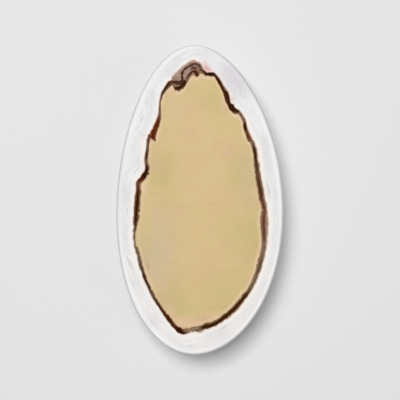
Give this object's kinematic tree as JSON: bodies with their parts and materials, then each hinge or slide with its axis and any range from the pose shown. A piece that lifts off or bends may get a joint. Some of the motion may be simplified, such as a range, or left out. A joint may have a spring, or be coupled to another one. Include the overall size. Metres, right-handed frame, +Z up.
{
  "type": "halved sugared almond",
  "caption": "Half of an almond in a thick white sugar shell, cut lengthwise and lying on its round back with the cut face up.",
  "frame": {"origin": "middle of the footprint's box, on the surface that the half rests on", "axes": "+Z up, out of the cut face; +Y along the almond, towards its pointed end; +X to the right when the cut face is seen from above with the pointed end away from the viewer"},
  "size_m": [0.0174, 0.032, 0.0065],
  "materials": {
    "sugar": "satin polished sugar on the back, chalky on the cut",
    "skin": "matte papery brown skin",
    "flesh": "dull cut almond, cream to tan"
  },
  "bodies": {
    "root": {"sugar_shell": "sugar", "almond_skin": "skin", "almond_kernel": "flesh"}
  },
  "joints": []
}
